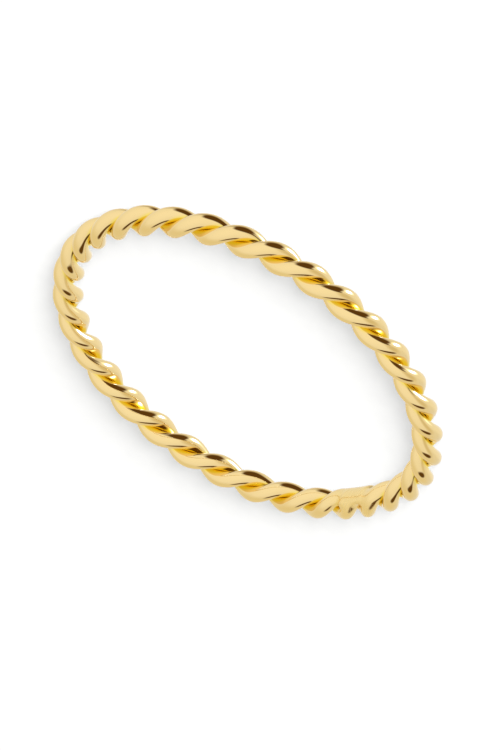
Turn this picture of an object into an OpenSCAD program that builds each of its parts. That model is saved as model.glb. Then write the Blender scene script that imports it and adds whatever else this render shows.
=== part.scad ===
// Stacking ring made of two round gold wires twisted together into a rope,
// bent round into a band and soldered shut at one seam.
// Millimetres. The ring lies on its side on z = 0, with the finger hole along +Z,
// and the origin is under the middle of the finger hole.

/* [Ring] */
// Clear diameter of the finger hole, between the inner bulges of the wires away from the seam
inner_d = 17.3; // [14:0.1:22]
// How far the rope runs inside a true circle at the seam, where its stiff ends stay flatter
seam_flat = 0.12; // [0:0.01:0.2]
// Degrees from the seam to the shoulder on each side, where it runs a little outside again
shoulder_angle = 45; // [30:1:60]

/* [Wires] */
// Diameter of each round wire
wire_d = 0.75; // [0.6:0.05:1]
// How much closer the wires lie than two round wires that just touch
press_in = 0.05; // [0:0.01:0.08]
// Clearance between the two wires, and between their ends at the seam
wire_gap = 0.02; // [0.01:0.01:0.04]

/* [Twist] */
// Turns that each wire makes about the rope on its way round the ring
twist_turns = 16.5; // [14.5:1:18.5]
// Place of the first wire in the rope at the seam, in degrees, 0 being outermost
seam_twist = 0; // [0:18:342]
// Twist in degrees that the rope has lost where it was cut
slack_twist = 60; // [0:4:72]
// Turns of twist over which the rope winds tight again after the seam
slack_turns = 4; // [1:0.5:5]
// Turns of twist on each side of the seam in which the lost twist is made up
tight_turns = 0.25; // [0.25:0.05:0.5]

/* [Solder seam] */
// Direction of the seam from the middle of the ring in degrees, 90 being +Y
seam_angle = 90; // [0:5:355]
// Distance from the seam, each way, as far as there is solder all round the rope
solder_full = 0.6; // [0.2:0.1:1.2]
// Distance from the seam, each way, to where the solder ends
solder_run = 2; // [1.4:0.1:3]
// Share of the groove between the wires that the solder fills at the seam
solder_fill = 0.3; // [0:0.05:0.9]
// Distance from the rope's axis to its side at the finger, where the solder is filed smooth
filed_reach = 0.74; // [0.65:0.01:0.8]
// Half the width of that filed side, in degrees about the rope's axis, where it is all round
filed_half = 42; // [20:1:50]
// The same to the filed side's edges, where it runs out into the wires
filed_edge = 72; // [60:1:90]

/* [Facets] */
// Corners round each wire, of which the one pressed against the other wire is cut off
wire_corners = 12; // [8:2:12]
// Cross-sections of each wire in one turn of twist
sections_per_turn = 20; // [12:4:20]

/* [Hidden] */
gold = "#e8c877";
wire_r = wire_d / 2;
lay_r = wire_r - press_in / 2;      // from the rope's axis to each wire's axis
rope_r = lay_r + wire_r;            // from the rope's axis to its outermost points
ring_r = inner_d / 2 + rope_r;      // from the ring's axis to the rope's axis
degree_mm = PI * ring_r / 180;      // length of one degree of the ring
whole_twist = 360 * twist_turns;
twist_per_mm = whole_twist / (360 * degree_mm);
lay_angle = atan(lay_r * twist_per_mm * PI / 180);  // slope of a wire to the rope's axis
gap_angle = wire_gap / degree_mm;
section_count = round(twist_turns * sections_per_turn);
corners = [for (j = [1 : wire_corners - 1]) 360 * j / wire_corners];
corner_count = len(corners);
groove_depth = wire_point(90)[1];   // from the rope's middle to its widest points

// Share of the lost twist that has built up again, before it is made exactly whole
function slack_share(twist) = 1 - exp(-twist / (360 * slack_turns));

// Degrees round the ring from the seam, for degrees of twist from the seam. The rope
// is slack after the seam, and tight close to the seam, where its ends were matched.
function arc_at(twist) =
    let (lost = slack_twist * slack_share(twist) / slack_share(whole_twist),
         made_up_after = slack_twist / 2 * (1 - exp(-twist / (360 * tight_turns))),
         made_up_before = slack_twist / 2 * exp((twist - whole_twist) / (360 * tight_turns)),
         evened = twist + lost - made_up_after - made_up_before)
    gap_angle / 2 + (360 - gap_angle) * evened / whole_twist;

// How far the rope runs outside a true circle, for degrees round the ring from the seam
function out_of_round(arc) =
    let (away = min(arc, 360 - arc) / shoulder_angle)
    -seam_flat * cos(180 * away) * exp(-away * away);

// Rises smoothly from 0 at low to 1 at high
function smooth_step(value, low, high) =
    let (share = max(0, min(1, (value - low) / (high - low))))
    share * share * (3 - 2 * share);

// Amount of solder, from 1 at the seam to 0, for degrees round the ring from the seam
function solder_at(arc) = 1 - smooth_step(min(arc, 360 - arc) * degree_mm, solder_full, solder_run);

// How much a direction about the rope's axis looks at the finger, where 0 is outwards
// and 90 is up: 1 over the filed side, and 0 at the top, the bottom and outside
function towards_finger(direction) = smooth_step(-cos(direction), cos(filed_edge), cos(filed_half));

// One point of a wire's outline in a cut square to the rope, as [out, across] from the
// rope's axis, where side 0 faces the other wire. The wire slopes, so that the cut is
// kidney-shaped, and it is flat where it is pressed against the other wire.
function wire_point(side) =
    let (out = lay_r - wire_r * cos(side),
         across = wire_r * sin(side) * cos(lay_angle),
         lean = twist_per_mm * wire_r * sin(side) * sin(lay_angle))
    [max(wire_gap / 2, out * cos(lean) - across * sin(lean)),
     out * sin(lean) + across * cos(lean)];

// The same point with solder, which fills part of the groove and, on the finger's side,
// all of it, filed round about the rope's axis. The corners beside the flat go where
// the two wires meet.
function soldered_point(side, solder, place) =
    let (p = wire_point(side),
         beside_flat = abs(sin(side)) <= sin(corners[0]) && cos(side) > 0,
         from_axis = beside_flat ? [0, sign(p[1])] : p / norm(p),
         filed_p = [max(wire_gap / 2, filed_reach * from_axis[0]), filed_reach * from_axis[1]],
         filed = solder * towards_finger(place + atan2(filed_p[1], filed_p[0])),
         missing = cos(side) > 0 ? max(0, groove_depth - abs(p[1])) : 0,
         in_groove = [p[0], p[1] + sign(p[1]) * solder_fill * (solder - filed) * missing])
    in_groove + filed * (filed_p - in_groove);

// A point [out, across] of the rope's cut, placed in the ring
function in_ring(p, place, arc) =
    let (r = ring_r + out_of_round(arc) + p[0] * cos(place) - p[1] * sin(place),
         z = rope_r + p[0] * sin(place) + p[1] * cos(place),
         angle = seam_angle + arc)
    [r * cos(angle), r * sin(angle), z];

// A whole wire, from one side of the seam round to the other,
// where start is its place in the rope at the seam
module strand(start) {
    points = [
        for (i = [0 : section_count])
        let (twist = whole_twist * i / section_count,
             arc = arc_at(twist),
             place = start + twist)
        for (side = corners)
        in_ring(soldered_point(side, solder_at(arc), place), place, arc)
    ];
    skin = [
        for (i = [0 : section_count - 1])
        for (j = [0 : corner_count - 1])
        let (a = i * corner_count + j,
             b = i * corner_count + (j + 1) % corner_count,
             c = b + corner_count,
             d = a + corner_count)
        each j == corner_count - 1
            ? [[a, d, b], [b, d, c]]    // the pressed side, folded away from the other wire
            : [[a, c, b], [a, d, c]]    // elsewhere, along the twist
    ];
    first_end = [for (j = [0 : corner_count - 1]) j];
    last_end = [for (j = [corner_count - 1 : -1 : 0]) section_count * corner_count + j];
    polyhedron(points, concat(skin, [first_end, last_end]), convexity = 10);
}

module strand_a() { color(gold) strand(seam_twist); }

module strand_b() { color(gold) strand(seam_twist + 180); }

strand_a();
strand_b();
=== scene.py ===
import math

import bpy
import numpy as np
from mathutils import Matrix, Vector


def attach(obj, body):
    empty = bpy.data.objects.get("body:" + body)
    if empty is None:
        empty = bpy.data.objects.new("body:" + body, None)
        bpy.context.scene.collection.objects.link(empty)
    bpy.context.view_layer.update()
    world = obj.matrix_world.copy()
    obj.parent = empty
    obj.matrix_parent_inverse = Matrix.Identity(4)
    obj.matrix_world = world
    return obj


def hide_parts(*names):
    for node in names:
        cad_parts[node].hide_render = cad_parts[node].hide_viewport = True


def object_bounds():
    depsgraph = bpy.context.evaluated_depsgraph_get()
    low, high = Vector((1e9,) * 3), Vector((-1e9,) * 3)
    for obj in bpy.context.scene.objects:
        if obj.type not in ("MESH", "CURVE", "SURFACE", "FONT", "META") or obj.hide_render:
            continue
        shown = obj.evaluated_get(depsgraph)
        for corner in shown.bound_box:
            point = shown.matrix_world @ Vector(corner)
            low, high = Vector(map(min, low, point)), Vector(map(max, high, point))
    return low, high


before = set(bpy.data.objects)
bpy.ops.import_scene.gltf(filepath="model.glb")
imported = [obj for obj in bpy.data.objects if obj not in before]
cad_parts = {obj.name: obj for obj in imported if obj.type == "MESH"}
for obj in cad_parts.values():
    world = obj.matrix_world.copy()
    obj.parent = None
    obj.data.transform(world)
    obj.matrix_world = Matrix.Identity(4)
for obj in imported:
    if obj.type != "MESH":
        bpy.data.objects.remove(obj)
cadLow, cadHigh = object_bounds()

# A stacking ring: two round gold wires twisted into a rope, bent round and soldered shut.
# It lies on its side at z = 0 with the finger hole along +Z. Everything is in metres.
mm = 0.001

# the rope's own sizes come from the box of the CAD model
ropeRadius = (cadHigh.z - cadLow.z) / 2
ringCentre = Vector((0, 0, ropeRadius))


def linearFromHex(text):
    # sRGB hex to the linear colour that the shader takes
    parts = [int(text[i:i + 2], 16) / 255 for i in (1, 3, 5)]
    return [c / 12.92 if c <= 0.04045 else ((c + 0.055) / 1.055) ** 2.4 for c in parts] + [1.0]


def smoothStep(value, low, high):
    # rises smoothly from 0 at low to 1 at high
    share = np.clip((value - low) / (high - low), 0, 1)
    return share * share * (3 - 2 * share)


def directionOf(azimuth, elevation):
    # a direction from the ring, with its angles in degrees: round from +X, and up from the board
    a = math.radians(azimuth)
    e = math.radians(elevation)
    return Vector((math.cos(a) * math.cos(e), math.sin(a) * math.cos(e), math.sin(e)))


def addNode(tree, kind, settings=None, links=None, values=None):
    # one node, with its settings, its socket values and what is plugged into it
    node = tree.nodes.new(kind)
    for name, value in (settings or {}).items():
        setattr(node, name, value)
    for socket, value in (values or {}).items():
        node.inputs[socket].default_value = value
    for socket, source in (links or {}).items():
        tree.links.new(source, node.inputs[socket])
    return node


def newMaterial(name):
    material = bpy.data.materials.new(name)
    material.use_nodes = True
    material.node_tree.nodes.clear()
    return material


# the two wires
wireShape = {
    "thick": 0.75 * mm,           # each wire
    "pressIn": 0.05 * mm,         # how far the two are squeezed into each other
    "turns": 16.5,                # of twist on the way round the ring
    "slackTwist": 60,             # degrees of twist that the rope lost where it was cut
    "slackTurns": 4,              # turns in which it winds tight again
    "tightTurns": 0.25,           # turns beside the seam in which the lost twist is made up
    "seamAngle": 90,              # where it is soldered, 90 being +Y
    "endGap": 0.001 * mm,         # between the ends there, so that each mesh is closed by itself
    "solderFull": 0.6 * mm,       # each way from the seam, as far as there is solder all round
    "solderRun": 2.0 * mm,        # each way from the seam, to where it ends
    "grooveFill": 0.3,            # share of the groove that it fills at the seam
    "filedReach": 0.74 * mm,      # from the rope's axis to the finger's side, where it is filed smooth
    "filedHalf": 42,              # degrees about the rope's axis that it is filed smooth, each way
    "filedEdge": 72,              # the same to where that side runs out into the wires
    "seamFlat": 0.12 * mm,        # how far the rope runs inside a true circle at the seam
    "shoulder": 45,               # degrees from the seam to where it runs a little outside again
    "sides": 44,                  # corners round each wire
    "sectionsPerTurn": 64,        # cuts of each wire in one turn of twist
}
# from the ring's axis to the rope's axis: a lump of the rope points outwards at the seam
ringRadius = cadHigh.y + wireShape["seamFlat"] - ropeRadius


def arcAt(twist, shape):
    # degrees round the ring from the seam: the rope is slack after it and tight close to it
    whole = 360 * shape["turns"]
    slack = 360 * shape["slackTurns"]
    tight = 360 * shape["tightTurns"]
    lost = shape["slackTwist"] * (1 - np.exp(-twist / slack)) / (1 - math.exp(-whole / slack))
    after = shape["slackTwist"] / 2 * (1 - np.exp(-twist / tight))
    before = shape["slackTwist"] / 2 * np.exp((twist - whole) / tight)
    gap = math.degrees(shape["endGap"] / ringRadius)
    return gap / 2 + (360 - gap) * (twist + lost - after - before) / whole


def outOfRound(arc, shape):
    # how far the rope runs outside a true circle: the stiff ends stay a little flat at the seam
    away = np.minimum(arc, 360 - arc) / shape["shoulder"]
    return -shape["seamFlat"] * np.cos(math.pi * away) * np.exp(-away ** 2)


def wireCut(shape):
    # one cut square to the rope, as distances out along the lay and across it from the rope's axis:
    # a kidney, because the wire slopes, pressed flat at side 0, where it faces the other wire
    wireRadius = shape["thick"] / 2
    layRadius = wireRadius - shape["pressIn"] / 2
    twistPerMetre = shape["turns"] / ringRadius
    layAngle = math.atan(layRadius * twistPerMetre)
    side = 2 * math.pi * np.arange(shape["sides"]) / shape["sides"]
    out = layRadius - wireRadius * np.cos(side)
    across = wireRadius * np.sin(side) * math.cos(layAngle)
    lean = twistPerMetre * wireRadius * np.sin(side) * math.sin(layAngle)
    cutOut = np.maximum(out * np.cos(lean) - across * np.sin(lean), 0)
    cutAcross = out * np.sin(lean) + across * np.cos(lean)
    facing = np.clip(np.cos(side), 0, 1)               # 1 where the wires touch, 0 on the open half
    grooveDepth = wireRadius * math.cos(layAngle)      # from the rope's middle to its widest points
    return cutOut, cutAcross, facing, grooveDepth


def solderedCut(cutOut, cutAcross, facing, grooveDepth, place, solder, shape):
    # solder fills part of the groove, and on the finger's side all of it, filed round
    sign = np.sign(cutAcross)
    flatHalf = np.abs(cutAcross[cutOut == 0]).max()        # half the flat between the two wires
    stretch = shape["filedReach"] / np.maximum(np.hypot(cutOut, cutAcross), flatHalf)
    direction = place + np.arctan2(cutAcross, cutOut)      # 0 outwards, a quarter turn up
    edge = math.cos(math.radians(shape["filedEdge"]))
    half = math.cos(math.radians(shape["filedHalf"]))
    filed = solder * smoothStep(-np.cos(direction), edge, half)
    inGroove = np.where((facing > 0) & (sign != 0), np.maximum(grooveDepth - np.abs(cutAcross), 0), 0)
    across = cutAcross + sign * shape["grooveFill"] * (solder - filed) * inGroove
    return cutOut + filed * (stretch - 1) * cutOut, across + filed * (stretch * cutAcross - across)


def wireFaces(sections, sides):
    # four-sided faces from cut to cut, and one face over each end
    faces = []
    for i in range(sections):
        for j in range(sides):
            here = i * sides + j
            beside = i * sides + (j + 1) % sides
            faces.append((here, beside, beside + sides, here + sides))
    faces.append(tuple(range(sides))[::-1])
    faces.append(tuple(range(sections * sides, (sections + 1) * sides)))
    return faces


def addWireRun(mesh, rings, sections, sides, girth):
    # a UV map in millimetres, along and round the wire, for the marks of drawing and polishing
    steps = np.linalg.norm(np.diff(rings.mean(1), axis=0), axis=1)
    along = np.concatenate([[0], np.cumsum(steps)]) / mm
    around = girth / mm * np.arange(sides + 1) / sides
    corners = np.zeros((sections, sides, 4, 2))
    for corner, (u, v) in enumerate(((0, 0), (0, 1), (1, 1), (1, 0))):
        corners[:, :, corner, 0] = along[u:sections + u, None]
        corners[:, :, corner, 1] = around[None, v:sides + v]
    ends = np.zeros((2, sides, 2))      # the two end faces are hidden in the seam
    uvs = np.concatenate([corners.reshape(-1), ends.reshape(-1)]).astype(np.float32)
    mesh.uv_layers.new(name="wireRun").data.foreach_set("uv", uvs)


def addPointValue(mesh, name, values):
    # a number at each point of the mesh, for the material to read
    values = values.astype(np.float32).reshape(-1)
    mesh.attributes.new(name, "FLOAT", "POINT").data.foreach_set("value", values)


def buildWire(name, startTwist, shape):
    # the cut is swept round the ring in equal steps of twist, from one side of the seam to the other
    sides = shape["sides"]
    sections = round(shape["turns"] * shape["sectionsPerTurn"])
    cutOut, cutAcross, facing, grooveDepth = wireCut(shape)
    twist = 360 * shape["turns"] * np.arange(sections + 1) / sections
    arc = arcAt(twist, shape)
    fromSeam = np.radians(np.minimum(arc, 360 - arc)) * ringRadius
    solder = 1 - smoothStep(fromSeam, shape["solderFull"], shape["solderRun"])[:, None]
    place = np.radians(startTwist + twist)[:, None]
    out, across = solderedCut(cutOut, cutAcross, facing, grooveDepth, place, solder, shape)
    angle = np.radians(shape["seamAngle"] + arc)[:, None]
    r = ringRadius + outOfRound(arc, shape)[:, None] + out * np.cos(place) - across * np.sin(place)
    z = ropeRadius + out * np.sin(place) + across * np.cos(place)
    rings = np.stack([r * np.cos(angle), r * np.sin(angle), z], -1)

    mesh = bpy.data.meshes.new(name)
    mesh.from_pydata(rings.reshape(-1, 3).tolist(), [], wireFaces(sections, sides))
    addWireRun(mesh, rings, sections, sides, math.pi * shape["thick"])
    # how far each point lies in a groove, where a deep yellow is painted for light that has met the
    # metal twice
    addPointValue(mesh, "groove", facing * (1 - solder))
    addPointValue(mesh, "solder", np.repeat(solder, sides))
    mesh.shade_smooth()
    mesh.update()
    # the ends are sharp, and so are the borders of the flat where the wires are pressed together
    pressed = np.count_nonzero(cutOut == 0) // 2
    sharp = np.zeros(len(mesh.edges), bool)
    for edge in mesh.edges:
        u, v = edge.vertices
        if u // sides == v // sides:
            sharp[edge.index] = u // sides in (0, sections)
        else:
            sharp[edge.index] = u % sides in (pressed, sides - pressed)
    mesh.attributes.new("sharp_edge", "BOOLEAN", "EDGE").data.foreach_set("value", sharp)
    mesh.validate()
    piece = bpy.data.objects.new(name, mesh)
    bpy.context.scene.collection.objects.link(piece)
    return piece


# 14 karat yellow gold wire, drawn and then polished to a mirror. It shows the room tinted a pale
# yellow. Its colour is painted a deep yellow in the grooves, a painted reflection of light that
# has met the metal twice there.
polishedGold = {
    "colour": "#F6DC9F",
    "paintedBounceColour": "#F5DC66",      # painted in the grooves, for light that has met the metal twice there
    "paintedBounceFrom": 0.6,              # from here on it is all that colour, 1 being the groove's bottom
    "solderColour": "#F8DE9C",    # hard solder is a little paler than the wire
    "roughness": 0.05,
    "solderRoughness": 0.22,      # filed and rubbed by hand
    "drawLine": 0.06 * mm,        # lines of the draw plate: real ones are 0.01 mm and wouldn't show
    "drawLength": 1.0 * mm,       # how far such a line runs along the wire
    "noiseSpan": (0.3, 0.7),      # where nearly all values of the lines' noise lie
    "lineRoughness": (0.6, 1.5),  # what the lines multiply the roughness by, over that span
    "lineHeight": 0.02,           # of the lines, as a share of the waves' height
    "wave": 0.9 * mm,             # slow waviness of a hand-polished surface
    "waveHeight": 0.01 * mm,
    "bumpStrength": 0.35,
}


def makePolishedGold(name, noiseStart):
    gold = polishedGold
    material = newMaterial(name)
    tree = material.node_tree
    run = addNode(tree, "ShaderNodeUVMap", {"uv_map": "wireRun"})
    place = addNode(tree, "ShaderNodeTexCoord")
    groove = addNode(tree, "ShaderNodeAttribute", {"attribute_name": "groove"})
    solder = addNode(tree, "ShaderNodeAttribute", {"attribute_name": "solder"})

    # long fine lines along the wire, where the UV map is in millimetres
    stretch = addNode(tree, "ShaderNodeMapping", links={"Vector": run.outputs["UV"]},
                      values={"Scale": (mm / gold["drawLength"], mm / gold["drawLine"], 1),
                              "Location": (noiseStart, 0, 0)})
    lines = addNode(tree, "ShaderNodeTexNoise", links={"Vector": stretch.outputs["Vector"]},
                    values={"Scale": 1.0, "Detail": 2.0, "Roughness": 0.5})
    # slow waves left by the polishing wheel
    waves = addNode(tree, "ShaderNodeTexNoise", links={"Vector": place.outputs["Object"]},
                    values={"Scale": 1 / gold["wave"], "Detail": 2.0, "Roughness": 0.4})

    # the colour: wire and solder, and both with a deep yellow painted into the grooves, for light that
    # has met the metal twice
    soldered = addNode(tree, "ShaderNodeMix", {"data_type": "RGBA"},
                       {"Factor": solder.outputs["Fac"]},
                       {"A": linearFromHex(gold["colour"]), "B": linearFromHex(gold["solderColour"])})
    paintedBounceShare = addNode(tree, "ShaderNodeMapRange", {"interpolation_type": "SMOOTHSTEP"},
                    {"Value": groove.outputs["Fac"]}, {"From Max": gold["paintedBounceFrom"]})
    tone = addNode(tree, "ShaderNodeMix", {"data_type": "RGBA"},
                   {"Factor": paintedBounceShare.outputs["Result"], "A": soldered.outputs["Result"]},
                   {"B": linearFromHex(gold["paintedBounceColour"])})

    # the roughness: wire and solder, and both a little finer or coarser by the lines
    low, high = gold["noiseSpan"]
    finer, coarser = gold["lineRoughness"]
    fine = addNode(tree, "ShaderNodeMapRange", links={"Value": lines.outputs["Fac"]},
                   values={"From Min": low, "From Max": high, "To Min": finer, "To Max": coarser})
    finish = addNode(tree, "ShaderNodeMapRange", links={"Value": solder.outputs["Fac"]},
                     values={"To Min": gold["roughness"], "To Max": gold["solderRoughness"]})
    rough = addNode(tree, "ShaderNodeMath", {"operation": "MULTIPLY"},
                    {0: fine.outputs["Result"], 1: finish.outputs["Result"]})
    height = addNode(tree, "ShaderNodeMath", {"operation": "MULTIPLY_ADD"},
                     {0: lines.outputs["Fac"], 2: waves.outputs["Fac"]}, {1: gold["lineHeight"]})
    bump = addNode(tree, "ShaderNodeBump", links={"Height": height.outputs["Value"]},
                   values={"Strength": gold["bumpStrength"], "Distance": gold["waveHeight"]})
    metal = addNode(tree, "ShaderNodeBsdfPrincipled",
                    links={"Base Color": tone.outputs["Result"], "Roughness": rough.outputs["Value"],
                           "Normal": bump.outputs["Normal"]},
                    values={"Metallic": 1.0})
    addNode(tree, "ShaderNodeOutputMaterial", links={"Surface": metal.outputs["BSDF"]})
    return material


# the second wire is half a turn of twist behind the first, and its noise starts somewhere else
wires = {
    "a": {"startTwist": 0, "noiseStart": 3.0},
    "b": {"startTwist": 180, "noiseStart": 11.0},
}
for letter, wire in wires.items():
    piece = buildWire("goldWire_" + letter, wire["startTwist"], wireShape)
    piece.data.materials.append(makePolishedGold("polishedYellowGold_" + letter, wire["noiseStart"]))
    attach(piece, "root")
    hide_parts("strand_" + letter)
    # it throws none of the tent's light on the board, where that would fill the shadow
    piece.visible_diffuse = False
    print("built", piece.name, "with", len(piece.data.polygons), "faces")

# the board that it lies on: white card, matt, with a fine tooth that hardly shows
board = {
    "size": 4.0,                  # each way
    "colour": "#F4F4F3",
    "shadeColour": "#EFEFEE",
    "tooth": 0.8 * mm,
    "roughness": 0.9,
}


def makeBoard():
    half = board["size"] / 2
    corners = [(-half, -half, 0), (half, -half, 0), (half, half, 0), (-half, half, 0)]
    mesh = bpy.data.meshes.new("board")
    mesh.from_pydata(corners, [], [(0, 1, 2, 3)])
    obj = bpy.data.objects.new("board", mesh)
    bpy.context.scene.collection.objects.link(obj)
    material = newMaterial("mattWhiteCard")
    tree = material.node_tree
    place = addNode(tree, "ShaderNodeTexCoord")
    tooth = addNode(tree, "ShaderNodeTexNoise", links={"Vector": place.outputs["Object"]},
                    values={"Scale": 1 / board["tooth"], "Detail": 3.0})
    tone = addNode(tree, "ShaderNodeMix", {"data_type": "RGBA"}, {"Factor": tooth.outputs["Fac"]},
                   {"A": linearFromHex(board["colour"]), "B": linearFromHex(board["shadeColour"])})
    card = addNode(tree, "ShaderNodeBsdfPrincipled", links={"Base Color": tone.outputs["Result"]},
                   values={"Roughness": board["roughness"]})
    addNode(tree, "ShaderNodeOutputMaterial", links={"Surface": card.outputs["BSDF"]})
    mesh.materials.append(material)
    # the metal mirrors the tent below it too, as a ring does that is held clear of any table, so that
    # the board isn't mirrored and keeps no light from the metal
    obj.visible_glossy = False
    obj.visible_shadow = False


makeBoard()
print("laid the board")

# the light tent, as directions about the ring, with angles in degrees. Each patch of it is an oval:
# half its width across and up, how far it is turned, and the share over which its edge is soft. A
# later patch lies over an earlier one. The dark ones are the openings for the lens and for the
# hands, and the bright ones are the lamp behind the cloth.
tent = {
    "white": (0.93, 0.915, 0.885),
    "towardsBright": (-0.05, -0.09, 0.04),       # the cloth grows brighter this way
    "patches": {
        "farCloth": {"azimuth": 30, "elevation": 28, "across": 54, "up": 40, "turn": 0,
                     "soft": 0.6, "light": (0.83, 0.77, 0.60)},
        "foldedCloth": {"azimuth": 150, "elevation": 6, "across": 38, "up": 18, "turn": -12,
                        "soft": 0.7, "light": (0.74, 0.66, 0.49)},
        "lowCloth": {"azimuth": 80, "elevation": -50, "across": 55, "up": 24, "turn": 0,
                     "soft": 0.6, "light": (0.96, 0.96, 0.95)},
        "brightLamp": {"azimuth": 161, "elevation": -52, "across": 11, "up": 15, "turn": -20,
                       "soft": 0.8, "light": (2.3, 2.5, 2.8)},
        "lampCore": {"azimuth": 161, "elevation": -51, "across": 6, "up": 8.5, "turn": -20,
                     "soft": 0.8, "light": (9.0, 13.0, 40.0)},
        "sideGap": {"azimuth": 95, "elevation": 39.5, "across": 26, "up": 12, "turn": -50,
                    "soft": 0.3, "light": (0.12, 0.06, 0.012)},
        "openingFoot": {"azimuth": 262, "elevation": -66, "across": 27, "up": 14, "turn": 10,
                        "soft": 0.7, "light": (0.42, 0.33, 0.22)},
        "openingTail": {"azimuth": 190, "elevation": -9, "across": 13, "up": 8, "turn": 10,
                        "soft": 0.5, "light": (0.12, 0.07, 0.03)},
        "lensOpening": {"azimuth": 219, "elevation": -34.5, "across": 25.5, "up": 40, "turn": 38,
                        "soft": 0.22, "light": (0.11, 0.053, 0.012)},
    },
}


def shareOfPatch(tree, along, patch):
    # 1 inside a soft oval about a direction, 0 outside: the angles from it, sideways and upwards,
    # are taken as shares of the oval's half widths
    middle = directionOf(patch["azimuth"], patch["elevation"])
    east = Vector((0, 0, 1)).cross(middle).normalized()
    north = middle.cross(east)
    turn = math.radians(patch["turn"])
    sideways = math.cos(turn) * east + math.sin(turn) * north
    upwards = math.cos(turn) * north - math.sin(turn) * east
    ahead = along(middle)
    shares = []
    for direction, half in ((sideways, patch["across"]), (upwards, patch["up"])):
        angle = addNode(tree, "ShaderNodeMath", {"operation": "ARCTAN2"},
                        {0: along(direction), 1: ahead})
        share = addNode(tree, "ShaderNodeMath", {"operation": "DIVIDE"},
                        {0: angle.outputs["Value"]}, {1: math.radians(half)})
        shares.append(share.outputs["Value"])
    both = addNode(tree, "ShaderNodeCombineXYZ", links={0: shares[0], 1: shares[1]})
    far = addNode(tree, "ShaderNodeVectorMath", {"operation": "LENGTH"}, {0: both.outputs["Vector"]})
    inside = addNode(tree, "ShaderNodeMapRange", {"interpolation_type": "SMOOTHSTEP"},
                     {"Value": far.outputs["Value"]},
                     {"From Min": 1 + patch["soft"], "From Max": 1 - patch["soft"]})
    return inside.outputs["Result"]


def makeTent():
    world = bpy.data.worlds.new("lightTent")
    bpy.context.scene.world = world
    world.use_nodes = True
    tree = world.node_tree
    tree.nodes.clear()
    way = addNode(tree, "ShaderNodeTexCoord").outputs["Generated"]

    def along(direction):
        dot = addNode(tree, "ShaderNodeVectorMath", {"operation": "DOT_PRODUCT"},
                      {0: way}, {1: direction})
        return dot.outputs["Value"]

    # the white cloth first, and then each patch over it
    bright = addNode(tree, "ShaderNodeMath", {"operation": "ADD"},
                     {0: along(tent["towardsBright"])}, {1: 1.0})
    cloth = addNode(tree, "ShaderNodeVectorMath", {"operation": "SCALE"},
                    {"Scale": bright.outputs["Value"]}, {0: tent["white"]})
    light = cloth.outputs["Vector"]
    for patch in tent["patches"].values():
        mixed = addNode(tree, "ShaderNodeMix", {"data_type": "VECTOR"},
                        {"Factor": shareOfPatch(tree, along, patch), "A": light},
                        {"B": patch["light"]})
        light = mixed.outputs["Result"]
    glow = addNode(tree, "ShaderNodeBackground", links={"Color": light}, values={"Strength": 1.0})
    addNode(tree, "ShaderNodeOutputWorld", links={"Surface": glow.outputs["Background"]})
    # the tent is for the metal, and the lamps are for the board
    world.cycles_visibility.diffuse = False


makeTent()

# two lamps light the board, and the metal doesn't mirror them: a big soft one, lower than the camera,
# so that the ring's shadow shows past the ring, and the fill from white cards all round, which has
# no shadow of its own and keeps the other pale. Angles are in degrees, spread being the lamp's width.
lamps = {
    "softLamp": {"azimuth": 205, "elevation": 20, "spread": 24, "strength": 4.0, "shadow": True},
    "cardFill": {"azimuth": 205, "elevation": 90, "spread": 24, "strength": 2.4, "shadow": False},
}


def makeLamp(name, lamp):
    data = bpy.data.lights.new(name, "SUN")
    data.energy = lamp["strength"]
    data.angle = math.radians(lamp["spread"])
    data.use_shadow = lamp["shadow"]
    obj = bpy.data.objects.new(name, data)
    bpy.context.scene.collection.objects.link(obj)
    obj.rotation_mode = "QUATERNION"
    obj.rotation_quaternion = directionOf(lamp["azimuth"], lamp["elevation"]).to_track_quat("Z", "Y")
    obj.visible_glossy = False


for name, lamp in lamps.items():
    makeLamp(name, lamp)
print("lit the tent and the board")

# the camera, as the photo was taken: a long lens, looking down on one side of the ring and rolled
shot = {
    "azimuth": 210.08,            # degrees from +X to the camera
    "elevation": 31.3,
    "roll": -146.69,
    "away": 562.5 * mm,           # from the ring's centre
    "sensor": 36,                 # mm, along the picture's long side
    "clip": (10 * mm, 20.0),      # nearest and farthest that is drawn
    "pixelsAcross": 500,
    "pixelsUp": 750,
    "ringAt": (246.5, 364.4),     # where the ring's centre shows, in pixels from the top left corner
    "ringRadiusPixels": 203.31,   # from there to the rope's axis, where it is as far away as the centre
}


def makeCamera():
    back = directionOf(shot["azimuth"], shot["elevation"])
    level = Vector((0, 0, 1)).cross(back).normalized()
    upright = back.cross(level)
    roll = math.radians(shot["roll"])
    right = math.cos(roll) * level + math.sin(roll) * upright
    up = back.cross(right)
    pixelsPerRadian = shot["ringRadiusPixels"] * shot["away"] / ringRadius
    data = bpy.data.cameras.new("camera")
    data.sensor_width = shot["sensor"]
    data.lens = pixelsPerRadian * shot["sensor"] / shot["pixelsUp"]
    data.clip_start, data.clip_end = shot["clip"]
    obj = bpy.data.objects.new("camera", data)
    bpy.context.scene.collection.objects.link(obj)
    pixel = shot["away"] / pixelsPerRadian
    offRight = (shot["ringAt"][0] - shot["pixelsAcross"] / 2) * pixel
    offUp = (shot["pixelsUp"] / 2 - shot["ringAt"][1]) * pixel
    spot = ringCentre + back * shot["away"] - right * offRight - up * offUp
    obj.matrix_world = Matrix.Translation(spot) @ Matrix((right, up, back)).transposed().to_4x4()
    bpy.context.scene.camera = obj


makeCamera()
bpy.context.scene.view_settings.view_transform = "Standard"
print("placed the camera")
